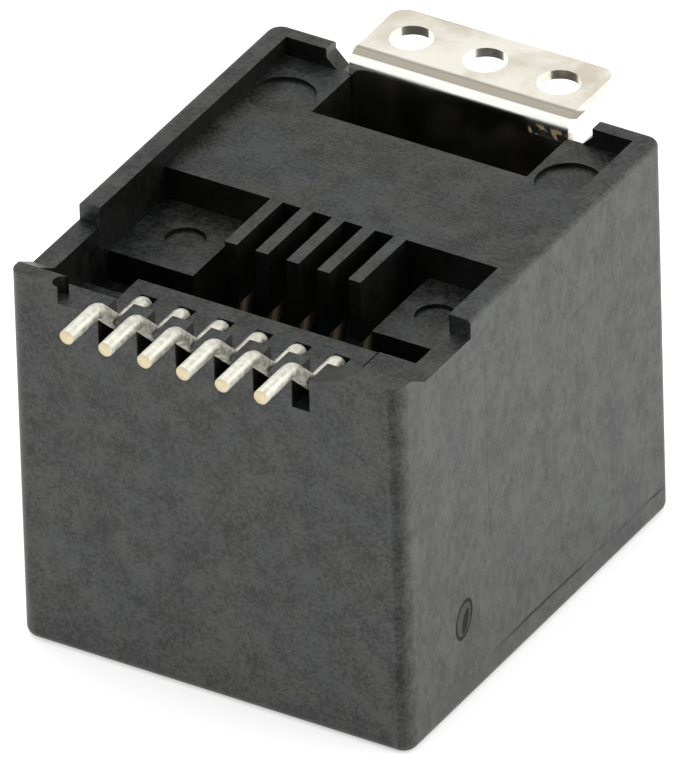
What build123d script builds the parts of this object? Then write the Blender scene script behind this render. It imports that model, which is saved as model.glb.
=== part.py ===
"""Six-position vertical modular jack for surface mounting, standing on its plug face.

X runs across the row of contacts, Y runs from the face with the solder feet to the face with the
solder tab, and +Z is the side that lies against the circuit board. The origin is below the middle
of the whole length, on the plug face. All sizes are in millimetres.
"""

import os

from build123d import *

# Outer body
body_width = 12.85
body_depth = 14.65
body_height = 12.5
side_wall = 0.7
back_wall = 0.55
front_wall = 1.02
corner_radius = 0.45
mouth_edge_radius = 0.3
rim_edge_radius = 0.15

# Board side: rims that touch the board, and the floors below them
rim_rise = 0.6
rim_step_y = 3.9
wall_drop = 0.1
shelf_drop = 0.7
shelf_back_y = 2.99
post_length = 0.62
post_width = 1.65
post_rise = 0.45
post_ramp = 0.77
post_slope = 1.05
post_relief_radius = 0.3
pad_drop = 1.05
pad_front_y = 4.27
pad_back_y = 7.4
window_gap = 0.41
ceiling = 1.0

# Comb that keeps the free ends of the contacts apart
contact_count = 6
port_pitch = 1.016
rib_width = 0.4
rib_tip_y = 4.88
rib_height = 2.0

# Sunk ejector pin marks
mark_depth = 0.12
floor_mark_radius = 0.98
floor_mark_side = 1.705
floor_mark_back = 2.45
pad_mark_radius = 0.61
pad_mark_side = 2.305
pad_mark_y = 5.8

# Plug port, open at the plug face
port_side_wall = 1.475
port_front_y = 3.35
latch_width = 6.2
latch_depth = 1.15
key_width = 3.5
key_depth = 0.8
key_height = 4.2
key_back_wall = 2.55
mouth_lead_in = 0.35

# Contact wires
wire_diameter = 0.457
wire_sides = 12
foot_pitch = 1.27
foot_length = 2.13
foot_lift = 0.1
foot_leg_start = 0.46
run_depth = 0.68
leg_y = 2.06
fan_drop = 0.97
fan_height = 1.8
hook_z = 1.85
hook_length = 1.33
tip_y = 6.95
tip_drop = 0.7
leg_bend = 0.6
run_bend = 0.3
fan_bend = 1.0
hook_bend = 0.45
slot_width = 0.58
slot_depth = 1.15

# Contact carrier, in its bay behind the front wall
carrier_end_wall = 0.12
carrier_clearance = 0.04
carrier_base_z = 3.2
wire_clearance = 0.04
fin_width = 0.45
fin_back_y = 2.9
end_recess_depth = 1.4
hook_room = 0.2

# Solder tab, bent once
tab_width = 7.24
tab_thickness = 0.3
tab_inset = 0.6
tab_overhang = 2.22
tab_lift = 0.13
tab_leg_length = 5.6
tab_bend_radius = 0.2
tab_corner_radius = 0.5
tab_hole_radius = 0.65
tab_hole_pitch = 2.44
tab_hole_offset = 0.93
tab_hole_count = 3
tab_clearance = 0.03

# Pocket and notch that the tab rises through
pocket_lap = 0.07
pocket_length = 2.2
pocket_depth = 3.6
notch_gap = 0.78
notch_floor_drop = 0.4
notch_shoulder = 0.42
notch_shoulder_height = 0.3

# Levels, edges and rows worked out from the sizes above
cut_over = 1.0
floor_z = body_height - rim_rise
post_z = floor_z + post_rise
wall_z = floor_z - wall_drop
shelf_z = floor_z - shelf_drop
pad_z = floor_z - pad_drop
port_top_z = pad_z - ceiling
key_back_y = body_depth - key_back_wall
latch_back_y = key_back_y - key_depth
port_back_y = latch_back_y - latch_depth
port_half = body_width / 2 - port_side_wall
bay_half = body_width / 2 - side_wall
floor_mark_x = body_width / 2 - floor_mark_side
pad_mark_x = body_width / 2 - pad_mark_side
wire_radius = wire_diameter / 2
foot_z = body_height + foot_lift - wire_radius
run_z = floor_z - run_depth
fan_top_z = run_z - fan_drop
fan_bottom_z = fan_top_z - fan_height
tip_z = pad_z - tip_drop
tab_top_z = body_height + tab_lift
tab_face_y = body_depth - tab_inset
tab_reach_y = body_depth + tab_overhang
notch_floor_z = floor_z - notch_floor_drop
carrier_front_y = front_wall + carrier_clearance
carrier_back_y = port_front_y - carrier_clearance
groove_y = leg_y - wire_radius - wire_clearance
groove_half = wire_radius + wire_clearance
groove_floor_z = run_z - groove_half
hole_back_y = leg_y + groove_half
foot_xs = [foot_pitch * (i - (contact_count - 1) / 2) for i in range(contact_count)]
port_xs = [port_pitch * (i - (contact_count - 1) / 2) for i in range(contact_count)]
rib_xs = [port_pitch * (i - (contact_count - 2) / 2) for i in range(contact_count - 1)]
fin_xs = [port_pitch * (i - contact_count / 2) for i in range(contact_count + 1)]
carrier_half = foot_pitch * contact_count / 2 + carrier_end_wall
window_half = port_xs[-1] + window_gap

# Y is measured from the front face, and the finished pieces move to the middle of the whole length
row_place = Location((0, (foot_length - tab_reach_y) / 2, 0))

os.makedirs("parts", exist_ok=True)


def block(x_low, x_high, y_low, y_high, z_low, z_high, mode):
    """Adds or cuts a box given by its two opposite corners, in the part being built."""
    with BuildSketch(Plane.XY.offset(z_low)) as outline:
        with Locations(((x_low + x_high) / 2, (y_low + y_high) / 2)):
            Rectangle(x_high - x_low, y_high - y_low)
    extrude(outline.sketch, amount=z_high - z_low, mode=mode)


with BuildPart() as housing:
    # Outer block with rounded corners
    with BuildSketch() as body_outline:
        with Locations((0, body_depth / 2)):
            RectangleRounded(body_width, body_depth, corner_radius)
    extrude(amount=body_height)
    fillet(housing.faces().sort_by(Axis.Z)[0].edges(), mouth_edge_radius)
    fillet(housing.faces().sort_by(Axis.Z)[-1].edges(), rim_edge_radius)

    # Floor inside the rims, and the lower rims in front with a post at each corner
    block(-bay_half, bay_half, front_wall, body_depth - back_wall, floor_z, body_height, Mode.SUBTRACT)
    block(-body_width, body_width, -cut_over, rim_step_y, post_z, body_height, Mode.SUBTRACT)
    with BuildSketch(Plane.YZ.offset(-body_width / 2)):
        with BuildLine():
            Polyline(
                (post_length, body_height),
                (post_length, post_z),
                (post_length + post_ramp, floor_z),
                (rim_step_y, floor_z),
                (rim_step_y, body_height),
                close=True,
            )
        make_face()
    extrude(amount=body_width, mode=Mode.SUBTRACT)
    block(-bay_half, bay_half, post_length, front_wall, wall_z, body_height, Mode.SUBTRACT)
    with BuildSketch(Plane.XZ.offset(cut_over)):
        with BuildLine():
            post_inner_x = body_width / 2 - post_width
            Polyline(
                (-post_inner_x, body_height),
                (-post_inner_x, wall_z),
                (post_inner_x - post_slope, wall_z),
                (post_inner_x, post_z),
                (post_inner_x, body_height),
                close=True,
            )
        make_face()
    extrude(amount=-cut_over - post_length, mode=Mode.SUBTRACT)

    # Shelf behind the front wall, the gap behind it, and the two pads beside the window
    block(-bay_half, bay_half, front_wall, shelf_back_y, shelf_z, floor_z, Mode.SUBTRACT)
    block(-bay_half, bay_half, shelf_back_y, pad_front_y, port_top_z, floor_z, Mode.SUBTRACT)
    block(-bay_half, bay_half, pad_front_y, pad_back_y, pad_z, floor_z, Mode.SUBTRACT)
    block(-window_half, window_half, pad_front_y, pad_back_y, port_top_z, floor_z, Mode.SUBTRACT)

    # Plug port with its latch channel and the key notch at the mouth
    block(-port_half, port_half, port_front_y, port_back_y, 0, port_top_z, Mode.SUBTRACT)
    block(-latch_width / 2, latch_width / 2, port_back_y, latch_back_y, 0, port_top_z, Mode.SUBTRACT)
    block(-key_width / 2, key_width / 2, latch_back_y, key_back_y, 0, key_height, Mode.SUBTRACT)

    # Bay of the contact carrier, and room for the hooks of the wires below it
    bay_edge = carrier_half + carrier_clearance
    block(-bay_edge, bay_edge, front_wall, port_front_y, carrier_base_z, floor_z, Mode.SUBTRACT)
    hook_edge = port_xs[-1] + wire_radius + hook_room
    hook_floor_z = hook_z - wire_radius - hook_room
    block(-hook_edge, hook_edge, groove_y, port_front_y, hook_floor_z, carrier_base_z, Mode.SUBTRACT)
    block(-bay_half, -bay_edge, front_wall, shelf_back_y, floor_z - end_recess_depth, floor_z, Mode.SUBTRACT)

    # Comb ribs over the window
    for rib_x in rib_xs:
        block(rib_x - rib_width / 2, rib_x + rib_width / 2, rib_tip_y, pad_back_y, floor_z - rib_height,
              floor_z, Mode.ADD)

    # Slots in the front wall, one for each wire
    for foot_x in foot_xs:
        block(foot_x - slot_width / 2, foot_x + slot_width / 2, -cut_over, front_wall,
              floor_z - slot_depth, floor_z, Mode.SUBTRACT)

    # Pocket, slot and notch of the solder tab
    pocket_half = tab_width / 2 - pocket_lap
    block(-pocket_half, pocket_half, tab_face_y - pocket_length, tab_face_y, floor_z - pocket_depth,
          floor_z, Mode.SUBTRACT)
    tab_slot_edge = tab_width / 2 + tab_clearance
    block(-tab_slot_edge, tab_slot_edge, tab_face_y - tab_clearance,
          tab_face_y + tab_thickness + tab_clearance, tab_top_z - tab_leg_length, floor_z, Mode.SUBTRACT)
    with BuildSketch(Plane.XZ.offset(-body_depth - cut_over)) as notch_outline:
        with BuildLine():
            half = tab_width / 2 + notch_gap
            low = half - notch_shoulder
            shoulder_z = notch_floor_z + notch_shoulder_height
            Polyline(
                (-half, body_height + cut_over),
                (-half, shoulder_z + notch_shoulder),
                (-low, shoulder_z),
                (-low, notch_floor_z),
                (low, notch_floor_z),
                (low, shoulder_z),
                (half, shoulder_z + notch_shoulder),
                (half, body_height + cut_over),
                close=True,
            )
        make_face()
    extrude(amount=back_wall + cut_over, mode=Mode.SUBTRACT)

    # Round relief beside the left post
    with BuildSketch(Plane.XY.offset(wall_z)):
        with Locations((-post_inner_x, post_length / 2)):
            Circle(post_relief_radius)
    extrude(amount=post_z - wall_z, mode=Mode.SUBTRACT)

    # Sunk ejector pin marks on the floor and on the pads
    with BuildSketch(Plane.XY.offset(floor_z - mark_depth)):
        with Locations((-floor_mark_x, body_depth - floor_mark_back), (floor_mark_x, body_depth - floor_mark_back)):
            Circle(floor_mark_radius)
    extrude(amount=mark_depth, mode=Mode.SUBTRACT)
    with BuildSketch(Plane.XY.offset(pad_z - mark_depth)):
        with Locations((-pad_mark_x, pad_mark_y), (pad_mark_x, pad_mark_y)):
            Circle(pad_mark_radius)
    extrude(amount=mark_depth, mode=Mode.SUBTRACT)

    # Lead-in round the mouth of the port
    mouth_face = housing.faces().filter_by(Plane.XY).sort_by(Axis.Z)[0]
    chamfer(mouth_face.inner_wires()[0].edges(), mouth_lead_in)

housing.part.move(row_place)
housing.part.label = "housing"
export_step(housing.part, "parts/housing.step")


with BuildPart() as contact_carrier:
    # Body flush with the shelf, cut back so that the wires hang free in the port
    block(-carrier_half, carrier_half, carrier_front_y, carrier_back_y, carrier_base_z, shelf_z, Mode.ADD)
    block(-carrier_half, carrier_half, groove_y, carrier_back_y, carrier_base_z, fan_top_z, Mode.SUBTRACT)
    block(-carrier_half, carrier_half, shelf_back_y - carrier_clearance, carrier_back_y, fan_top_z, shelf_z,
          Mode.SUBTRACT)

    # A groove in the top for each wire, ending in the hole that the wire bends down through
    for foot_x in foot_xs:
        low_x = foot_x - groove_half
        high_x = foot_x + groove_half
        block(low_x, high_x, carrier_front_y, groove_y, groove_floor_z, shelf_z, Mode.SUBTRACT)
        block(low_x, high_x, groove_y, hole_back_y, fan_top_z, shelf_z, Mode.SUBTRACT)
    cross_edges = contact_carrier.edges().filter_by(Axis.X)
    saddle_edges = [cross_edges.sort_by_distance((foot_x, groove_y, groove_floor_z))[0] for foot_x in foot_xs]
    fillet(saddle_edges, run_bend - groove_half)

    # Fins between the wires
    for fin_x in fin_xs:
        block(fin_x - fin_width / 2, fin_x + fin_width / 2, groove_y, fin_back_y, carrier_base_z,
              fan_bottom_z - wire_diameter, Mode.ADD)

contact_carrier.part.move(row_place)
contact_carrier.part.label = "contact_carrier"
export_step(contact_carrier.part, "parts/contact_carrier.step")


def make_contact(foot_x, port_x):
    """One wire, from its solder foot through the slot and down the carrier to its free end.

    Its round section has twelve flats, one of them level on the board side.
    """
    leg_foot_y = -foot_leg_start + (foot_z - run_z)
    with BuildPart() as contact:
        with BuildLine() as route:
            FilletPolyline(
                (foot_x, -foot_length, foot_z),
                (foot_x, -foot_leg_start, foot_z),
                (foot_x, leg_foot_y, run_z),
                (foot_x, leg_y, run_z),
                (foot_x, leg_y, fan_top_z),
                (port_x, leg_y, fan_bottom_z),
                (port_x, leg_y, hook_z),
                (port_x, leg_y + hook_length, hook_z),
                (port_x, tip_y, tip_z),
                radius=[leg_bend, leg_bend, run_bend, fan_bend, fan_bend, hook_bend, hook_bend],
            )
        with BuildSketch(Plane(origin=(foot_x, -foot_length, foot_z), z_dir=(0, 1, 0))):
            RegularPolygon(wire_radius, wire_sides, major_radius=False, rotation=180 / wire_sides)
        sweep(path=route.wire())
    return contact.part


for index in range(contact_count):
    name = f"contact_{index + 1}"
    contact_part = make_contact(foot_xs[index], port_xs[index])
    contact_part.move(row_place)
    contact_part.label = name
    export_step(contact_part, f"parts/{name}.step")


with BuildPart() as solder_tab:
    # Bent strip: a leg in the housing and a flange at board level
    leg_bottom_z = tab_top_z - tab_leg_length
    with BuildSketch(Plane.YZ.offset(-tab_width / 2)) as strip:
        with BuildLine():
            Polyline(
                (tab_face_y, leg_bottom_z),
                (tab_face_y, tab_top_z),
                (tab_reach_y, tab_top_z),
                (tab_reach_y, tab_top_z - tab_thickness),
                (tab_face_y + tab_thickness, tab_top_z - tab_thickness),
                (tab_face_y + tab_thickness, leg_bottom_z),
                close=True,
            )
        make_face()
        inner_corner = (tab_face_y + tab_thickness, tab_top_z - tab_thickness)
        fillet(strip.vertices().sort_by_distance(inner_corner)[0], tab_bend_radius)
        outer_corner = (tab_face_y, tab_top_z)
        fillet(strip.vertices().sort_by_distance(outer_corner)[0], tab_bend_radius + tab_thickness)
    extrude(amount=tab_width)
    fillet(solder_tab.edges().filter_by(Axis.Z).group_by(Axis.Y)[-1], tab_corner_radius)
    with BuildSketch(Plane.XY.offset(tab_top_z)):
        with Locations((0, body_depth + tab_hole_offset)):
            with GridLocations(tab_hole_pitch, 1, tab_hole_count, 1):
                Circle(tab_hole_radius)
    extrude(amount=-tab_thickness, mode=Mode.SUBTRACT)

solder_tab.part.move(row_place)
solder_tab.part.label = "solder_tab"
export_step(solder_tab.part, "parts/solder_tab.step")
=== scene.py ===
import math

import bpy
import numpy as np
from bpy.props import FloatProperty, FloatVectorProperty, IntProperty, PointerProperty
from mathutils import Matrix, Vector


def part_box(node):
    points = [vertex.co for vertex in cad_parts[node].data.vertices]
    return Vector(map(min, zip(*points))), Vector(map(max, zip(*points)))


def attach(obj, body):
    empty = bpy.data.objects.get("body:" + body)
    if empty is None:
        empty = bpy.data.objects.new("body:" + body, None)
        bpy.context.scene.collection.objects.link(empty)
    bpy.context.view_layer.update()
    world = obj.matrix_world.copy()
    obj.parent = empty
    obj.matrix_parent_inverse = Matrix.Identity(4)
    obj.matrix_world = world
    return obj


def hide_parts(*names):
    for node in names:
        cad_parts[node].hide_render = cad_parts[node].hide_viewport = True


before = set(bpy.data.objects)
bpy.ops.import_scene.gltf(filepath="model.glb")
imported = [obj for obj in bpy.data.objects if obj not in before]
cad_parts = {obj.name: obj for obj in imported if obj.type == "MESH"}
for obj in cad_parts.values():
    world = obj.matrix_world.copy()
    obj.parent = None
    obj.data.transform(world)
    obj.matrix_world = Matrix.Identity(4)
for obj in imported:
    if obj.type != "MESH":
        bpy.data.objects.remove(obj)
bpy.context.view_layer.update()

bl_info = {
    "name": "Modular jack dressing",
    "version": (1, 0, 0),
    "blender": (4, 5, 0),
    "location": "3D View > Sidebar > Jack",
    "description": "Gives the jack its wires and finishes, and sets the stage, the lamps and the camera",
    "category": "Object",
}

MM = 0.001
HOUSING_LOW, HOUSING_HIGH = (Vector(corner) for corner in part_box("housing"))

# Wire's route in millimetres, with Y from the front face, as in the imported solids
FOOT_Y, FOOT_END_Y, FOOT_Z = -2.13, -0.46, 12.3715
RUN_Y, RUN_Z = 0.6915, 11.22
LEG_Y = 2.06
FAN_TOP_Z, FAN_BOTTOM_Z = 10.25, 8.45
HOOK_Y, HOOK_Z = 3.39, 1.85
TIP_Y, TIP_Z = 6.95, 10.15
BEND_RADII = (0.6, 0.6, 0.3, 1.0, 1.0, 0.45, 0.45)

# Colours that are painted over others in small places: wear and painted light on the plastic, a painted
# highlight and a painted reflection on the tab, and black for marks and painted shade
WEAR_AND_PAINTED_LIGHT_PLASTIC = (0.075, 0.081, 0.068)
PAINTED_HIGHLIGHT_TIN = (1.0, 1.0, 0.95)
PAINTED_GOLD_REFLECTION = (0.42, 0.28, 0.09)
BLACK = (0.0, 0.0, 0.0)

# Bend of the tab: level of its middle, and the slope and start of the measure that runs round it, which places
# the painted shade and painted highlight bands
FOLD_Z = 12.13
FOLD_SLOPE = 0.575
FOLD_START = -3.841


# Helpers for node trees

def add_node(tree, kind, x, y, **values):
    """A shader node at a place in its editor, with its properties set by name."""
    node = tree.nodes.new(kind)
    node.location = (x, y)
    for name, value in values.items():
        setattr(node, name, value)
    return node


def wire_up(tree, *pairs):
    """Links each output socket to its input socket."""
    for source, target in pairs:
        tree.links.new(source, target)


def math_node(tree, operation, x, y, *terms, clamp=False):
    """A Math node whose terms are numbers or sockets, and returns its output."""
    node = add_node(tree, "ShaderNodeMath", x, y, operation=operation, use_clamp=clamp)
    for index, term in enumerate(terms):
        if isinstance(term, (int, float)):
            node.inputs[index].default_value = term
        else:
            tree.links.new(term, node.inputs[index])
    return node.outputs[0]


def ramp(tree, x, y, value, low, high, to_low=0.0, to_high=1.0):
    """A smooth step of a value from one range to another."""
    node = add_node(tree, "ShaderNodeMapRange", x, y, interpolation_type="SMOOTHSTEP")
    for name, number in (("From Min", low), ("From Max", high), ("To Min", to_low), ("To Max", to_high)):
        node.inputs[name].default_value = number
    tree.links.new(value, node.inputs["Value"])
    return node.outputs["Result"]


def noise(tree, x, y, vector, scale, detail=2.0, roughness=0.5, distortion=0.0):
    """A noise texture whose features are about 1 / scale metres wide."""
    node = add_node(tree, "ShaderNodeTexNoise", x, y)
    node.inputs["Scale"].default_value = scale
    node.inputs["Detail"].default_value = detail
    node.inputs["Roughness"].default_value = roughness
    node.inputs["Distortion"].default_value = distortion
    tree.links.new(vector, node.inputs["Vector"])
    return node.outputs["Fac"]


def mix_colour(tree, x, y, factor, first, second):
    """A colour between two others. Each is a colour or a socket."""
    node = add_node(tree, "ShaderNodeMix", x, y, data_type="RGBA")
    for name, term in (("Factor_Float", factor), ("A_Color", first), ("B_Color", second)):
        socket = next(s for s in node.inputs if s.identifier == name)
        if isinstance(term, bpy.types.NodeSocket):
            tree.links.new(term, socket)
        elif isinstance(term, (int, float)):
            socket.default_value = term
        else:
            socket.default_value = (*term[:3], 1.0)
    return next(s for s in node.outputs if s.identifier == "Result_Color")


def new_group(name, inputs, outputs):
    """An empty shader node group with its named sockets, and its two end nodes."""
    tree = bpy.data.node_groups.new(name, "ShaderNodeTree")
    for title, kind, default in inputs:
        socket = tree.interface.new_socket(name=title, in_out="INPUT", socket_type=kind)
        if default is not None:
            socket.default_value = default
    for title, kind in outputs:
        tree.interface.new_socket(name=title, in_out="OUTPUT", socket_type=kind)
    return tree, tree.nodes.new("NodeGroupInput"), tree.nodes.new("NodeGroupOutput")


def place_group(tree, group, x, y, vector, **values):
    """A group's node in a material, fed by a vector and plain values."""
    node = add_node(tree, "ShaderNodeGroup", x, y, node_tree=group)
    tree.links.new(vector, node.inputs["Vector"])
    for name, value in values.items():
        node.inputs[name].default_value = value
    return node


def mould_grain_group():
    """Grain of glass-filled plastic: fine specks over soft clouds. Puts out their tone and their height."""
    tree, start, end = new_group(
        "mould_grain",
        [("Vector", "NodeSocketVector", None), ("Clouds", "NodeSocketFloat", 0.5)],
        [("Tone", "NodeSocketFloat"), ("Hue", "NodeSocketFloat"), ("Height", "NodeSocketFloat")],
    )
    vector = start.outputs["Vector"]
    specks = noise(tree, -600, 200, vector, 9000.0, 3.0, 0.65)
    clouds = noise(tree, -600, 0, vector, 1300.0, 4.0, 0.6)
    patches = noise(tree, -600, -200, vector, 420.0, 2.0, 0.5, 0.6)
    blend = math_node(tree, "MULTIPLY", -400, 0, clouds, start.outputs["Clouds"])
    share = math_node(tree, "SUBTRACT", -600, 400, 1.0, start.outputs["Clouds"])
    tone = math_node(tree, "ADD", -200, 100, math_node(tree, "MULTIPLY", -400, 200, specks, share), blend)
    wire_up(tree, (tone, end.inputs["Tone"]), (patches, end.inputs["Hue"]), (specks, end.inputs["Height"]))
    return tree


def scratches_group():
    """Fine curved scratches: the contour lines of a broad noise, where a second noise lets them show."""
    tree, start, end = new_group(
        "handling_scratches",
        [("Vector", "NodeSocketVector", None)],
        [("Lines", "NodeSocketFloat")],
    )
    vector = start.outputs["Vector"]
    field = noise(tree, -800, 100, vector, 170.0, 1.0, 0.4)
    turns = math_node(tree, "MULTIPLY", -600, 100, field, 46.0)
    wave = math_node(tree, "PINGPONG", -400, 100, turns, 0.5)
    lines = ramp(tree, -200, 100, wave, 0.035, 0.0)
    shown = ramp(tree, -200, -100, noise(tree, -600, -100, vector, 380.0, 3.0), 0.5, 0.66)
    wire_up(tree, (math_node(tree, "MULTIPLY", 0, 0, lines, shown), end.inputs["Lines"]))
    return tree


def worn_edges_group():
    """Wear along the outer edges of a box: the second smallest distance to its faces, under a given reach."""
    tree, start, end = new_group(
        "worn_edges",
        [("Vector", "NodeSocketVector", None), ("Low", "NodeSocketVector", None),
         ("High", "NodeSocketVector", None), ("Reach", "NodeSocketFloat", 0.0003)],
        [("Wear", "NodeSocketFloat")],
    )
    from_low = add_node(tree, "ShaderNodeVectorMath", -1000, 100, operation="SUBTRACT")
    to_high = add_node(tree, "ShaderNodeVectorMath", -1000, -100, operation="SUBTRACT")
    nearest = add_node(tree, "ShaderNodeVectorMath", -800, 0, operation="MINIMUM")
    parts = add_node(tree, "ShaderNodeSeparateXYZ", -600, 0)
    wire_up(
        tree,
        (start.outputs["Vector"], from_low.inputs[0]), (start.outputs["Low"], from_low.inputs[1]),
        (start.outputs["High"], to_high.inputs[0]), (start.outputs["Vector"], to_high.inputs[1]),
        (from_low.outputs[0], nearest.inputs[0]), (to_high.outputs[0], nearest.inputs[1]),
        (nearest.outputs[0], parts.inputs[0]),
    )
    gap_x, gap_y, gap_z = parts.outputs
    lesser = math_node(tree, "MINIMUM", -400, 100, gap_x, gap_y)
    greater = math_node(tree, "MAXIMUM", -400, -100, gap_x, gap_y)
    second = math_node(tree, "MAXIMUM", 0, 0, lesser, math_node(tree, "MINIMUM", -200, -100, greater, gap_z))
    share = math_node(tree, "DIVIDE", 200, 0, second, start.outputs["Reach"])
    rough = noise(tree, 0, -200, start.outputs["Vector"], 2500.0, 3.0)
    uneven = math_node(tree, "ADD", 400, 0, share, rough)
    wire_up(tree, (ramp(tree, 600, 0, uneven, 1.4, 0.3), end.inputs["Wear"]))
    return tree


def within(tree, x, y, value, middle, half, soft):
    """One where a value lies inside a range about its middle, falling to zero over a soft edge."""
    away = math_node(tree, "ABSOLUTE", x + 160, y, math_node(tree, "SUBTRACT", x, y, value, middle))
    return ramp(tree, x + 320, y, away, half + soft, half)


def side_marks_group():
    """Marks of the mould on the right face: a plain sunk oval, a fine upright line and a low step.

    The oval's mask is one where the place, divided by the two half sizes, is nearer than one to its
    middle. Puts out the oval, the lines and the strip below the step.
    """
    tree, start, end = new_group(
        "side_marks",
        [("Vector", "NodeSocketVector", None), ("Face", "NodeSocketFloat", 0.0)],
        [("Oval", "NodeSocketFloat"), ("Lines", "NodeSocketFloat"), ("Foot", "NodeSocketFloat")],
    )
    parts = add_node(tree, "ShaderNodeSeparateXYZ", -1600, 0)
    wire_up(tree, (start.outputs["Vector"], parts.inputs[0]))
    x, y, z = parts.outputs
    from_face = math_node(tree, "SUBTRACT", -1400, 400, x, start.outputs["Face"])
    face = ramp(tree, -1200, 400, from_face, -0.02 * MM, -0.01 * MM)
    waves = noise(tree, -1600, -600, start.outputs["Vector"], 900.0, 2.0)
    wobble = math_node(tree, "MULTIPLY_ADD", -1400, -600, waves, 0.14 * MM, -0.07 * MM)
    from_y = math_node(tree, "SUBTRACT", -1400, 200, y, -4.255 * MM)
    from_z = math_node(tree, "SUBTRACT", -1400, 0, z, 2.88 * MM)
    across = math_node(tree, "MULTIPLY_ADD", -1200, 200, from_y, 0.94 / (0.44 * MM),
                       math_node(tree, "MULTIPLY", -1300, 200, from_z, -0.34 / (0.44 * MM)))
    along = math_node(tree, "MULTIPLY_ADD", -1200, 0, from_z, 0.94 / (0.64 * MM),
                      math_node(tree, "MULTIPLY", -1300, 0, from_y, 0.34 / (0.64 * MM)))
    reach = math_node(tree, "SQRT", -800, 100, math_node(
        tree, "ADD", -900, 100, math_node(tree, "MULTIPLY", -1000, 200, across, across),
        math_node(tree, "MULTIPLY", -1000, 0, along, along)))
    edge = within(tree, -700, 300, reach, 0.9, 0.05, 0.12)
    inside = math_node(tree, "MULTIPLY", -600, 200, ramp(tree, -700, 200, reach, 0.95, 0.85), 0.5)
    aside = math_node(tree, "SUBTRACT", -800, -100, across, 0.22)
    low = math_node(tree, "ADD", -800, -200, along, 0.12)
    aside_square = math_node(tree, "MULTIPLY", -750, -50, aside, aside)
    low_square = math_node(tree, "MULTIPLY", -750, -150, low, low)
    spot_reach = math_node(tree, "MULTIPLY_ADD", -700, -100, aside_square, 3.2, low_square)
    spot = ramp(tree, -600, -100, spot_reach, 0.6, 0.3)
    oval = math_node(tree, "MULTIPLY", -400, 100, math_node(
        tree, "MAXIMUM", -450, 100, math_node(tree, "MAXIMUM", -500, 100, edge, inside), spot), face)
    seam_y = math_node(tree, "ADD", -1200, -200, y, math_node(tree, "MULTIPLY", -1300, -250, wobble, 0.25))
    seam = within(tree, -1000, -200, seam_y, -2.76 * MM, 0.012 * MM, 0.03 * MM)
    seam_part = within(tree, -1000, -350, z, 8.0 * MM, 2.6 * MM, 0.8 * MM)
    seam = math_node(tree, "MULTIPLY", -500, -200, seam, seam_part)
    seam = math_node(tree, "MULTIPLY", -400, -200, seam, 0.35)
    step_z = math_node(tree, "ADD", -1200, -500, z, wobble)
    step = within(tree, -1000, -500, step_z, 0.9 * MM, 0.02 * MM, 0.07 * MM)
    step_part = ramp(tree, -1000, -650, y, -3.4 * MM, -1.4 * MM)
    gaps = noise(tree, -800, -700, start.outputs["Vector"], 500.0, 2.0)
    broken = ramp(tree, -600, -700, gaps, 0.35, 0.65, 0.15, 0.75)
    step_part = math_node(tree, "MULTIPLY", -500, -600, step_part, broken)
    step = math_node(tree, "MULTIPLY", -400, -500, step, step_part)
    lines = math_node(tree, "MULTIPLY", -200, -300, math_node(tree, "MAXIMUM", -300, -300, seam, step), face)
    foot = math_node(tree, "MULTIPLY", -200, -500, ramp(tree, -400, -600, step_z, 0.95 * MM, 0.8 * MM), face)
    wire_up(tree, (oval, end.inputs["Oval"]), (lines, end.inputs["Lines"]), (foot, end.inputs["Foot"]))
    return tree


def inner_walls_group():
    """Upright faces inside the rims and the port, where hardly any light is sent back to the eye: the mask for
    their painted shade.
    """
    tree, start, end = new_group(
        "inner_walls",
        [("Vector", "NodeSocketVector", None), ("Normal", "NodeSocketVector", None)],
        [("Inner", "NodeSocketFloat")],
    )
    place = add_node(tree, "ShaderNodeSeparateXYZ", -1400, 200)
    facing = add_node(tree, "ShaderNodeSeparateXYZ", -1400, -200)
    wire_up(tree, (start.outputs["Vector"], place.inputs[0]), (start.outputs["Normal"], facing.inputs[0]))
    x, y = place.outputs[:2]
    inside = math_node(tree, "MULTIPLY", -400, 200,
                       within(tree, -1100, 300, x, 0.0, 5.73 * MM, 0.02 * MM),
                       within(tree, -1100, 100, y, -0.27 * MM, 7.02 * MM, 0.02 * MM))
    upright = ramp(tree, -700, -200, math_node(tree, "ABSOLUTE", -1000, -200, facing.outputs["Z"]), 0.6, 0.2)
    wire_up(tree, (math_node(tree, "MULTIPLY", -200, 0, inside, upright), end.inputs["Inner"]))
    return tree


def new_material(name):
    """A material with a Principled shader, and its tree, shader and object coordinates."""
    material = bpy.data.materials.new(name)
    material.use_nodes = True
    tree = material.node_tree
    shader = tree.nodes["Principled BSDF"]
    place = add_node(tree, "ShaderNodeTexCoord", -1400, 0)
    return material, tree, shader, place.outputs["Object"]


def dress(node, material):
    """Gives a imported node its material, in every slot it has."""
    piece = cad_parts[node]
    if not piece.material_slots:
        piece.data.materials.append(material)
    for place in piece.material_slots:
        place.material = material


# Settings that a user would change

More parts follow.
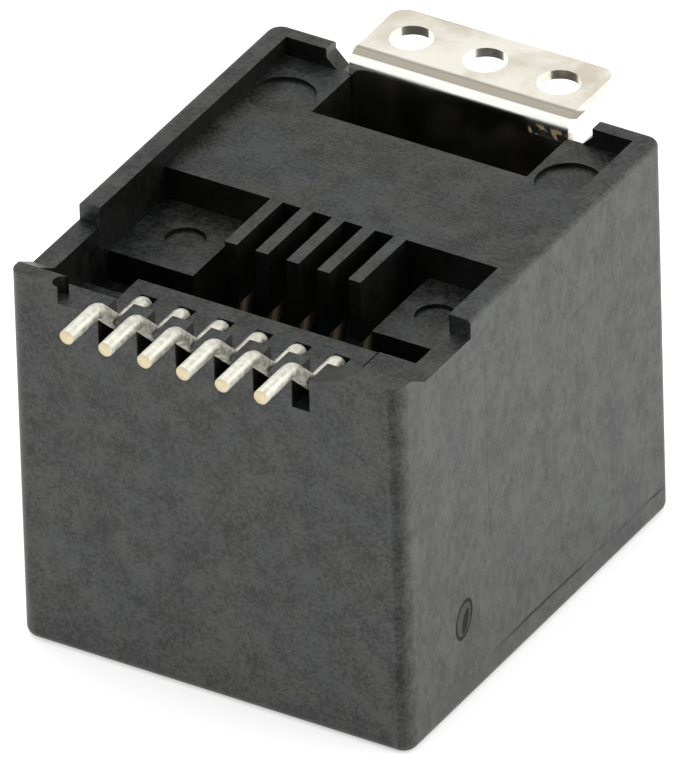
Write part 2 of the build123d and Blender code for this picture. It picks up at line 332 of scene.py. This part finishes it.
class JackFinish(bpy.types.PropertyGroup):
    """Colours and gloss of the jack's plastic, wires and tab."""

    plastic_cool: FloatVectorProperty(
        name="Plastic, cool", description="Bluish tone of the black plastic", subtype="COLOR",
        size=3, min=0.0, max=1.0, default=(0.0062, 0.0070, 0.0074))
    plastic_warm: FloatVectorProperty(
        name="Plastic, warm", description="Olive tone of the black plastic", subtype="COLOR",
        size=3, min=0.0, max=1.0, default=(0.0085, 0.0086, 0.0060))
    plastic_roughness: FloatProperty(
        name="Plastic roughness", description="Roughness of the moulded faces", subtype="FACTOR",
        min=0.0, max=1.0, default=0.42)
    tin: FloatVectorProperty(
        name="Tin", description="Colour of the matte tin on the solder feet", subtype="COLOR",
        size=3, min=0.0, max=1.0, default=(0.66, 0.65, 0.57))
    gold: FloatVectorProperty(
        name="Gold", description="Colour of the plating on the sprung ends", subtype="COLOR",
        size=3, min=0.0, max=1.0, default=(0.80, 0.56, 0.26))
    # Painted shade: a dark colour on the upper part of each sprung end, seen between the ribs, in place of the
    # gold.
    dark_tone_and_shade: FloatVectorProperty(
        name="Dark tone and painted shade", description="Colour of the wires near the comb, above the plated length",
        subtype="COLOR", size=3, min=0.0, max=1.0, default=(0.16, 0.13, 0.09))
    core: FloatVectorProperty(
        name="Core", description="Colour of the bare alloy at the cut ends", subtype="COLOR",
        size=3, min=0.0, max=1.0, default=(0.66, 0.58, 0.40))
    bright_tin: FloatVectorProperty(
        name="Bright tin", description="Colour of the bright tin on the tab", subtype="COLOR",
        size=3, min=0.0, max=1.0, default=(0.90, 0.87, 0.77))
    stained_tin: FloatVectorProperty(
        name="Stained tin", description="Colour of the stains on the tab", subtype="COLOR",
        size=3, min=0.0, max=1.0, default=(0.50, 0.43, 0.32))
    # Painted shade: this darker colour stands in for shade on the upper side of the tab's fold.
    shaded_tin: FloatVectorProperty(
        name="Shaded tin", description="Colour of the upper side of the tab's fold", subtype="COLOR",
        size=3, min=0.0, max=1.0, default=(0.245, 0.225, 0.185))


class JackWires(bpy.types.PropertyGroup):
    """Route and fineness of the six contact wires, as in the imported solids."""

    diameter: FloatProperty(
        name="Diameter", description="Diameter of the round wire", unit="LENGTH", default=0.457 * MM)
    foot_pitch: FloatProperty(
        name="Foot pitch", description="Distance between two solder feet", unit="LENGTH", default=1.27 * MM)
    port_pitch: FloatProperty(
        name="Port pitch", description="Distance between two sprung ends", unit="LENGTH", default=1.016 * MM)
    sides: IntProperty(
        name="Sides", description="Faces round a wire", min=8, max=128, default=40)
    bend_steps: IntProperty(
        name="Bend steps", description="Sections along each bend", min=4, max=64, default=14)


class JackStage(bpy.types.PropertyGroup):
    """View and light."""

    azimuth: FloatProperty(
        name="Azimuth", description="Turn of the view to the right of the front", subtype="ANGLE",
        default=math.radians(31.865))
    elevation: FloatProperty(
        name="Elevation", description="Height of the view above the floor", subtype="ANGLE",
        default=math.radians(33.355))
    roll: FloatProperty(
        name="Roll", description="Tilt of the picture", subtype="ANGLE", default=math.radians(1.757))
    distance: FloatProperty(
        name="Distance", description="Camera's distance from the jack", unit="LENGTH", default=710.831 * MM)
    lens: FloatProperty(
        name="Lens", description="Focal length in millimetres", min=1.0, default=1176.08)
    ambient: FloatProperty(
        name="Ambient", description="Strength of the light from all round", min=0.0, default=0.9)
    floor_gloss: FloatProperty(
        name="Floor in reflections", description="Glow that the floor shows to the glossy faces alone", min=0.0,
        default=0.45)
    key_power: FloatProperty(
        name="Key lamp", description="Power of the large lamp above", subtype="POWER", min=0.0, default=0.25)
    fill_power: FloatProperty(
        name="Fill lamp", description="Power of the lamp at the right", subtype="POWER", min=0.0, default=0.30)


# Surfaces

def grid_faces(rows, columns):
    """Quads of a grid that is closed round its columns, as four corner indices each."""
    row, column = np.meshgrid(np.arange(rows - 1), np.arange(columns), indexing="ij")
    after = (column + 1) % columns
    near = row * columns
    far = near + columns
    return np.stack((near + column, near + after, far + after, far + column), axis=-1).reshape(-1, 4)


def rounded_route(corners, radii, steps):
    """Points along a path of straight runs joined by arcs.

    At each inner corner the arc of the given radius touches both runs. With u and v the directions
    into and out of the corner, and a the angle between them, the arc starts r tan(a / 2) before the
    corner, and its point at angle t is start + r (sin t) u + r (1 - cos t) n, where n is the part of v
    square to u, made one unit long.
    """
    corners = np.asarray(corners, dtype=float)
    pieces = [corners[:1]]
    for before, corner, after, radius in zip(corners[:-2], corners[1:-1], corners[2:], radii):
        into = (corner - before) / np.linalg.norm(corner - before)
        out = (after - corner) / np.linalg.norm(after - corner)
        turn = math.acos(float(np.clip(into @ out, -1.0, 1.0)))
        side = out - (into @ out) * into
        side /= np.linalg.norm(side)
        angle = np.linspace(0.0, turn, steps)[:, None]
        start = corner - radius * math.tan(turn / 2) * into
        pieces.append(start + radius * np.sin(angle) * into + radius * (1 - np.cos(angle)) * side)
    pieces.append(corners[-1:])
    return np.concatenate(pieces)


def tube(points, radius, sides, rounding):
    """Vertices and faces of a round wire along a path, closed at both ends.

    At each point p the ring is p + r (cos w) x + r (sin w) b, where b is the path's direction crossed
    with x, and x is the row's X made square to the path. The end rings shrink over the rounding, and
    a last ring of almost no size closes each end.
    """
    ahead = np.gradient(points, axis=0)
    step = np.linalg.norm(points[1] - points[0])
    first = points[0] + (points[1] - points[0]) * rounding / step
    step = np.linalg.norm(points[-2] - points[-1])
    last = points[-1] + (points[-2] - points[-1]) * rounding / step
    points = np.concatenate([
        points[:1], points[:1], first[None], points[1:-1], last[None], points[-1:], points[-1:],
    ])
    ahead = np.concatenate([ahead[:1], ahead[:1], ahead[:1], ahead[1:-1], ahead[-1:], ahead[-1:], ahead[-1:]])
    ahead /= np.linalg.norm(ahead, axis=1, keepdims=True)
    across = np.array([1.0, 0.0, 0.0]) - ahead[:, :1] * ahead
    across /= np.linalg.norm(across, axis=1, keepdims=True)
    up = np.cross(ahead, across)
    size = np.full(len(points), radius)
    size[[0, -1]] = radius * 0.02
    size[[1, -2]] = radius - rounding
    angle = np.linspace(0.0, 2 * math.pi, sides, endpoint=False)
    ring = across[:, None] * np.cos(angle)[None, :, None] + up[:, None] * np.sin(angle)[None, :, None]
    vertices = (points[:, None] + ring * size[:, None, None]).reshape(-1, 3)
    return vertices, grid_faces(len(points), sides)


def new_piece(name, vertices, faces, material, smooth=True):
    """A mesh object at the origin, with its place in its vertices."""
    mesh = bpy.data.meshes.new(name)
    mesh.from_pydata(vertices.tolist(), [], faces.tolist())
    mesh.polygons.foreach_set("use_smooth", np.full(len(mesh.polygons), smooth))
    mesh.materials.append(material)
    mesh.update()
    piece = bpy.data.objects.new(name, mesh)
    bpy.context.scene.collection.objects.link(piece)
    return piece


# Pieces

class JACK_OT_plastic(bpy.types.Operator):
    """Gives the housing and the contact carrier their moulded black plastic

    The mottling, the marks, and the painted shade on the corner's band, on the upward faces and on the inner
    walls come from a mask on Metallic over a near-black colour, which lowers the reflection there. The plastic
    itself is not metal.
    The lighter specks on the right face are partly mottling and partly painted light.
    """

    bl_idname = "jack.plastic"
    bl_label = "Plastic"

    def execute(self, context):
        look = context.scene.jack_finish
        material, tree, shader, place = new_material("black_glass_filled_plastic")
        grain = place_group(tree, mould_grain_group(), -1100, 200, place, Clouds=0.42)
        lines = place_group(tree, scratches_group(), -1100, -100, place)
        edges = place_group(tree, worn_edges_group(), -1100, -400, place,
                            Low=HOUSING_LOW, High=HOUSING_HIGH, Reach=0.28 * MM)
        marks = place_group(tree, side_marks_group(), -1100, -700, place, Face=HOUSING_HIGH[0])
        inner = place_group(tree, inner_walls_group(), -1100, -1000, place)
        facing = add_node(tree, "ShaderNodeNewGeometry", -1400, -1000)
        wire_up(tree, (facing.outputs["True Normal"], inner.inputs["Normal"]))
        hue = ramp(tree, -800, 300, grain.outputs["Hue"], 0.35, 0.65)
        plain = mix_colour(tree, -600, 300, hue, look.plastic_cool, look.plastic_warm)
        tone = ramp(tree, -800, 100, grain.outputs["Tone"], 0.36, 0.64, 0.0, 2.4)
        toned = add_node(tree, "ShaderNodeVectorMath", -400, 200, operation="SCALE")
        side = add_node(tree, "ShaderNodeSeparateXYZ", -1200, -1200)
        wire_up(tree, (facing.outputs["True Normal"], side.inputs[0]))
        stretch = add_node(tree, "ShaderNodeVectorMath", -1300, -1500, operation="MULTIPLY")
        stretch.inputs[1].default_value = (1.0, 1.0, 0.65)
        wire_up(tree, (place, stretch.inputs[0]))
        cells = noise(tree, -1100, -1500, stretch.outputs[0], 4600.0, 3.0, 0.65, 0.3)
        veins = noise(tree, -1100, -1700, stretch.outputs[0], 1100.0, 3.0, 0.6, 0.4)
        cells = math_node(tree, "MULTIPLY", -1000, -1500, cells, 0.55)
        mottle = math_node(tree, "MULTIPLY_ADD", -900, -1500, veins, 0.45, cells)
        # Mottling that shows on the right face alone, made lighter there: partly the plastic's mottling, partly
        # painted light from the side.
        specks = ramp(tree, -800, -500, mottle, 0.37, 0.63, 0.0, 0.6)
        painted_light_right_face = ramp(tree, -800, -1200, side.outputs["X"], 0.7, 1.0)
        specks = math_node(tree, "MULTIPLY", -600, -500, specks, painted_light_right_face)
        wear = math_node(tree, "MULTIPLY", -600, -300, edges.outputs["Wear"], 0.5)
        marked = math_node(tree, "MULTIPLY", -600, -100, lines.outputs["Lines"], 0.35)
        wear_and_painted_light = math_node(tree, "MAXIMUM", -500, -200, wear, marked)
        wear_and_painted_light = math_node(tree, "MAXIMUM", -400, -200, wear_and_painted_light, specks)
        foot = math_node(tree, "MULTIPLY", -400, -600, marks.outputs["Foot"], 0.16)
        wear_and_painted_light = math_node(tree, "MAXIMUM", -300, -200, wear_and_painted_light, foot)
        # Lighter colour for the edge wear, the scratches and the step's strip, and painted light for the
        # right-face specks.
        light = mix_colour(tree, -200, 200, wear_and_painted_light, toned.outputs[0], WEAR_AND_PAINTED_LIGHT_PLASTIC)
        dark = math_node(tree, "MAXIMUM", -200, -600, marks.outputs["Oval"], marks.outputs["Lines"])
        # Painted shade: the upright faces inside the rims and the port get black colour and a lower reflection.
        walls = math_node(tree, "MULTIPLY", -300, -900, inner.outputs["Inner"], 0.62)
        quiet = math_node(tree, "MAXIMUM", -100, -800, dark, walls)
        # Painted shade: a darker band on the rounded corner between the front and the right face, chosen by the
        # facing of its faces.
        corner = within(tree, -500, -1300, side.outputs["X"], 0.45, 0.2, 0.2)
        to_front = ramp(tree, -400, -1400, side.outputs["Y"], -0.3, -0.6)
        corner = math_node(tree, "MULTIPLY", -200, -1300, corner, to_front)
        colour = mix_colour(tree, 0, 200, quiet, light, BLACK)
        # Mottling from the grain, with painted shade added on the upward faces and on the corner's band; it
        # raises Metallic, which darkens the reflection.
        dark_tone_and_shade = ramp(tree, -300, -1100, grain.outputs["Tone"], 0.62, 0.38, 0.0, 0.34)
        upward = ramp(tree, -300, -1200, side.outputs["Z"], 0.7, 1.0)
        dark_tone_and_shade = math_node(tree, "MULTIPLY_ADD", -150, -1150, upward, 0.2, dark_tone_and_shade)
        dark_tone_and_shade = math_node(tree, "MULTIPLY_ADD", -100, -1200, corner, 0.25, dark_tone_and_shade)
        marks_mottle_and_shade = math_node(tree, "MAXIMUM", 0, -900, quiet, dark_tone_and_shade)
        rough = ramp(tree, -400, -400, grain.outputs["Tone"], 0.3, 0.7,
                     look.plastic_roughness - 0.05, look.plastic_roughness + 0.08)
        shader.inputs["Specular IOR Level"].default_value = 0.8
        bump = add_node(tree, "ShaderNodeBump", -200, -200)
        bump.inputs["Strength"].default_value = 0.35
        bump.inputs["Distance"].default_value = 0.004 * MM
        height = math_node(tree, "MULTIPLY_ADD", -400, -700, dark, -12.0, grain.outputs["Height"])
        wire_up(
            tree,
            (plain, toned.inputs[0]), (tone, toned.inputs["Scale"]), (colour, shader.inputs["Base Color"]),
            (rough, shader.inputs["Roughness"]), (marks_mottle_and_shade, shader.inputs["Metallic"]),
            (height, bump.inputs["Height"]),
            (bump.outputs["Normal"], shader.inputs["Normal"]),
        )
        for node in ("housing", "contact_carrier"):
            dress(node, material)
        return {"FINISHED"}


class JACK_OT_wires(bpy.types.Operator):
    """Draws the six contact wires with their solder feet, bends and sprung ends"""

    bl_idname = "jack.wires"
    bl_label = "Contact wires"

    def execute(self, context):
        sizes = context.scene.jack_wires
        look = context.scene.jack_finish
        material, tree, shader, place = new_material("tinned_and_plated_wire")
        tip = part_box("contact_1")[0][1]
        parts = add_node(tree, "ShaderNodeSeparateXYZ", -1200, 0)
        cut = ramp(tree, -900, 0, parts.outputs["Y"], tip + 0.035 * MM, tip + 0.02 * MM)
        plated = ramp(tree, -900, 200, parts.outputs["Y"], -4.9 * MM, -4.6 * MM)
        speck = noise(tree, -900, -200, place, 6000.0, 3.0)
        tone = ramp(tree, -700, -200, speck, 0.3, 0.7, 0.82, 1.12)
        # Painted shade: the sprung ends are gold below 6 mm and turn to a dark colour above 7.5 mm, where they
        # lie in shade between the ribs.
        plating = mix_colour(tree, -750, 300, ramp(tree, -900, 400, parts.outputs["Z"], 6.0 * MM, 7.5 * MM),
                             look.gold, look.dark_tone_and_shade)
        body = mix_colour(tree, -600, 200, plated, look.tin, plating)
        toned = add_node(tree, "ShaderNodeVectorMath", -400, 200, operation="SCALE")
        colour = mix_colour(tree, -200, 200, cut, toned.outputs[0], look.core)
        rough = ramp(tree, -400, -200, speck, 0.3, 0.7, 0.44, 0.62)
        bump = add_node(tree, "ShaderNodeBump", -200, -200)
        bump.inputs["Strength"].default_value = 0.3
        bump.inputs["Distance"].default_value = 0.003 * MM
        shader.inputs["Metallic"].default_value = 1.0
        wire_up(
            tree,
            (place, parts.inputs[0]), (body, toned.inputs[0]), (tone, toned.inputs["Scale"]),
            (colour, shader.inputs["Base Color"]), (rough, shader.inputs["Roughness"]),
            (speck, bump.inputs["Height"]), (bump.outputs["Normal"], shader.inputs["Normal"]),
        )
        shift_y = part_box("housing")[0][1] / MM
        for index in range(6):
            foot_x = sizes.foot_pitch / MM * (index - 2.5)
            port_x = sizes.port_pitch / MM * (index - 2.5)
            corners = np.array([
                (foot_x, FOOT_Y, FOOT_Z),
                (foot_x, FOOT_END_Y, FOOT_Z),
                (foot_x, RUN_Y, RUN_Z),
                (foot_x, LEG_Y, RUN_Z),
                (foot_x, LEG_Y, FAN_TOP_Z),
                (port_x, LEG_Y, FAN_BOTTOM_Z),
                (port_x, LEG_Y, HOOK_Z),
                (port_x, HOOK_Y, HOOK_Z),
                (port_x, TIP_Y, TIP_Z),
            ]) + (0.0, shift_y, 0.0)
            route = rounded_route(corners, BEND_RADII, sizes.bend_steps)
            vertices, faces = tube(route * MM, sizes.diameter / 2, sizes.sides, 0.03 * MM)
            piece = new_piece(f"contact_wire_{index + 1}", vertices, faces, material)
            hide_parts(f"contact_{index + 1}")
            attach(piece, "root")
        return {"FINISHED"}


class JACK_OT_tab(bpy.types.Operator):
    """Gives the solder tab its bright tin, with stains, a band of painted shade, a band of painted highlight
    and patches of painted golden reflection

    The two bands and the patches are painted by their place on the piece, in place of real shade, highlight and
    reflections.
    """

    bl_idname = "jack.tab"
    bl_label = "Solder tab"

    def execute(self, context):
        look = context.scene.jack_finish
        material, tree, shader, place = new_material("bright_tinned_sheet")
        waves = noise(tree, -900, 0, place, 700.0, 3.0, 0.5, 0.3)
        rough = ramp(tree, -600, -100, waves, 0.35, 0.65, 0.14, 0.26)
        parts = add_node(tree, "ShaderNodeSeparateXYZ", -1200, 300)
        x, y, z = parts.outputs
        inward = math_node(tree, "MULTIPLY_ADD", -1000, 300, y, FOLD_SLOPE, FOLD_START * MM)
        upward = math_node(tree, "SUBTRACT", -1000, 200, z, FOLD_Z * MM)
        fold = math_node(tree, "ADD", -900, 300, inward, upward)
        # Painted shade: a darker band along the upper side of the fold, placed by position.
        painted_shade_band = within(tree, -800, 300, fold, 0.61 * MM, 0.12 * MM, 0.1 * MM)
        # Painted highlight: a near-white band round the fold, placed by position.
        painted_highlight_band = within(tree, -800, 500, fold, 0.25 * MM, 0.2 * MM, 0.06 * MM)
        stains = noise(tree, -800, 700, place, 380.0, 4.0, 0.6, 0.3)
        stained = ramp(tree, -600, 700, stains, 0.40, 0.66, 0.0, 0.6)
        colour = mix_colour(tree, -400, 400, stained, look.bright_tin, look.stained_tin)
        colour = mix_colour(tree, -300, 400, painted_shade_band, colour, look.shaded_tin)
        colour = mix_colour(tree, -200, 400, painted_highlight_band, colour, PAINTED_HIGHLIGHT_TIN)
        # Painted reflection: small golden patches on the leg near the tab's end, where the metal is turned off.
        patches = ramp(tree, -600, 1000, noise(tree, -800, 1000, place, 3000.0, 3.0), 0.48, 0.6)
        near_end = within(tree, -800, 900, x, 2.95 * MM, 0.5 * MM, 0.2 * MM)
        on_leg = within(tree, -800, 1200, z, 11.95 * MM, 0.12 * MM, 0.08 * MM)
        outer_side = ramp(tree, -500, 1200, y, 6.8 * MM, 6.7 * MM)
        zone = math_node(tree, "MULTIPLY", -500, 900, near_end, on_leg)
        patches = math_node(tree, "MULTIPLY", -400, 900, patches, zone)
        patches = math_node(tree, "MULTIPLY", -300, 900, patches, outer_side)
        colour = mix_colour(tree, -100, 400, patches, colour, PAINTED_GOLD_REFLECTION)
        metal = math_node(tree, "SUBTRACT", -200, 900, 1.0, patches)
        bump = add_node(tree, "ShaderNodeBump", -200, -200)
        bump.inputs["Strength"].default_value = 0.25
        bump.inputs["Distance"].default_value = 0.01 * MM
        wire_up(
            tree,
            (place, parts.inputs[0]), (colour, shader.inputs["Base Color"]),
            (metal, shader.inputs["Metallic"]), (rough, shader.inputs["Roughness"]),
            (waves, bump.inputs["Height"]), (bump.outputs["Normal"], shader.inputs["Normal"]),
        )
        dress("solder_tab", material)
        return {"FINISHED"}


class JACK_OT_stage(bpy.types.Operator):
    """Sets the pale floor, the soft light and the camera"""

    bl_idname = "jack.stage"
    bl_label = "Stage"

    def execute(self, context):
        view = context.scene.jack_stage
        self.floor(view)
        self.world(context, view.ambient)
        self.lamp("key_lamp", (-0.10, 0.02, 0.30), 0.30, view.key_power)
        self.lamp("fill_lamp", (0.28, 0.10, 0.16), 0.20, view.fill_power)
        self.camera(context, view)
        context.scene.view_settings.view_transform = "Standard"
        return {"FINISHED"}

    def floor(self, view):
        """Flat square, white to the camera and to reflections away from the shadow."""
        material = bpy.data.materials.new("pale_floor")
        material.use_nodes = True
        tree = material.node_tree
        tree.nodes.clear()
        rays = add_node(tree, "ShaderNodeLightPath", -600, 200)
        to_camera = math_node(tree, "MULTIPLY", -400, 200, rays.outputs["Is Camera Ray"], 0.45)
        glossy = rays.outputs["Is Glossy Ray"]
        glow_level = math_node(tree, "MULTIPLY_ADD", -300, 200, glossy, view.floor_gloss, to_camera)
        diffuse = add_node(tree, "ShaderNodeBsdfDiffuse", -200, 0)
        diffuse.inputs["Color"].default_value = (0.80, 0.80, 0.80, 1.0)
        glow = add_node(tree, "ShaderNodeEmission", -200, 200)
        total = add_node(tree, "ShaderNodeAddShader", 0, 100)
        out = add_node(tree, "ShaderNodeOutputMaterial", 200, 100)
        wire_up(
            tree,
            (glow_level, glow.inputs["Strength"]),
            (glow.outputs[0], total.inputs[0]), (diffuse.outputs[0], total.inputs[1]),
            (total.outputs[0], out.inputs["Surface"]),
        )
        across = np.linspace(-1.0, 1.0, 9)
        x, y = np.meshgrid(across, across, indexing="ij")
        vertices = np.stack([x.ravel(), y.ravel(), np.zeros(x.size)], axis=-1)
        row, column = np.meshgrid(np.arange(8), np.arange(8), indexing="ij")
        first = (row * 9 + column).ravel()
        faces = np.stack([first, first + 9, first + 10, first + 1], axis=-1)
        new_piece("floor", vertices, faces, material, smooth=False)

    def world(self, context, ambient):
        """White to the camera and to reflections, and a plain even light otherwise."""
        world = bpy.data.worlds.new("studio")
        world.use_nodes = True
        context.scene.world = world
        tree = world.node_tree
        back = tree.nodes["Background"]
        back.inputs["Color"].default_value = (1.0, 1.0, 1.0, 1.0)
        rays = add_node(tree, "ShaderNodeLightPath", -800, 0)
        seen = math_node(tree, "ADD", -600, 100, rays.outputs["Is Camera Ray"], rays.outputs["Is Glossy Ray"])
        seen = math_node(tree, "ADD", -400, 100, seen, rays.outputs["Is Transmission Ray"], clamp=True)
        wire_up(tree, (ramp(tree, -200, 100, seen, 0.0, 1.0, ambient, 1.0), back.inputs["Strength"]))

    def lamp(self, name, place, size, power):
        """A square soft lamp that faces the jack."""
        data = bpy.data.lights.new(name, "AREA")
        data.shape = "SQUARE"
        data.size = size
        data.energy = power
        lamp = bpy.data.objects.new(name, data)
        turn = Vector(place).to_track_quat("Z", "Y").to_matrix().to_4x4()
        lamp.matrix_world = Matrix.Translation(place) @ turn
        bpy.context.scene.collection.objects.link(lamp)

    def camera(self, context, view):
        """A long lens on the jack's middle, turned by azimuth, elevation and roll."""
        back = Vector((
            math.sin(view.azimuth) * math.cos(view.elevation),
            -math.cos(view.azimuth) * math.cos(view.elevation),
            math.sin(view.elevation),
        ))
        right = Vector((0.0, 0.0, 1.0)).cross(back).normalized()
        down = right.cross(back)
        tilted_right = right * math.cos(view.roll) + down * math.sin(view.roll)
        tilted_down = down * math.cos(view.roll) - right * math.sin(view.roll)
        aim = Vector((0.0, -0.058, 6.2425)) * MM - (tilted_right * 0.01 + tilted_down * 0.122) * MM
        data = bpy.data.cameras.new("camera")
        data.lens = view.lens
        data.clip_end = 10.0
        camera = bpy.data.objects.new("camera", data)
        turn = Matrix((tilted_right, -tilted_down, back)).transposed().to_4x4()
        camera.matrix_world = Matrix.Translation(aim + back * view.distance) @ turn
        context.scene.collection.objects.link(camera)
        context.scene.camera = camera


class JACK_PT_panel(bpy.types.Panel):
    """Lists the jack's settings and the steps that make it"""

    bl_idname = "JACK_PT_panel"
    bl_label = "Modular jack"
    bl_space_type = "VIEW_3D"
    bl_region_type = "UI"
    bl_category = "Jack"

    def draw(self, context):
        for group in (context.scene.jack_finish, context.scene.jack_wires, context.scene.jack_stage):
            box = self.layout.box()
            for name in group.__annotations__:
                box.prop(group, name)
        for step in STEPS:
            self.layout.operator(step.bl_idname)


STEPS = (JACK_OT_plastic, JACK_OT_wires, JACK_OT_tab, JACK_OT_stage)
CLASSES = (JackFinish, JackWires, JackStage, *STEPS, JACK_PT_panel)


def register():
    for entry in CLASSES:
        bpy.utils.register_class(entry)
    bpy.types.Scene.jack_finish = PointerProperty(type=JackFinish)
    bpy.types.Scene.jack_wires = PointerProperty(type=JackWires)
    bpy.types.Scene.jack_stage = PointerProperty(type=JackStage)


def unregister():
    del bpy.types.Scene.jack_stage
    del bpy.types.Scene.jack_wires
    del bpy.types.Scene.jack_finish
    for entry in reversed(CLASSES):
        bpy.utils.unregister_class(entry)


def main():
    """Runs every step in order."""
    register()
    bpy.ops.jack.stage()
    bpy.ops.jack.plastic()
    bpy.ops.jack.wires()
    bpy.ops.jack.tab()


if __name__ == "__main__":
    main()
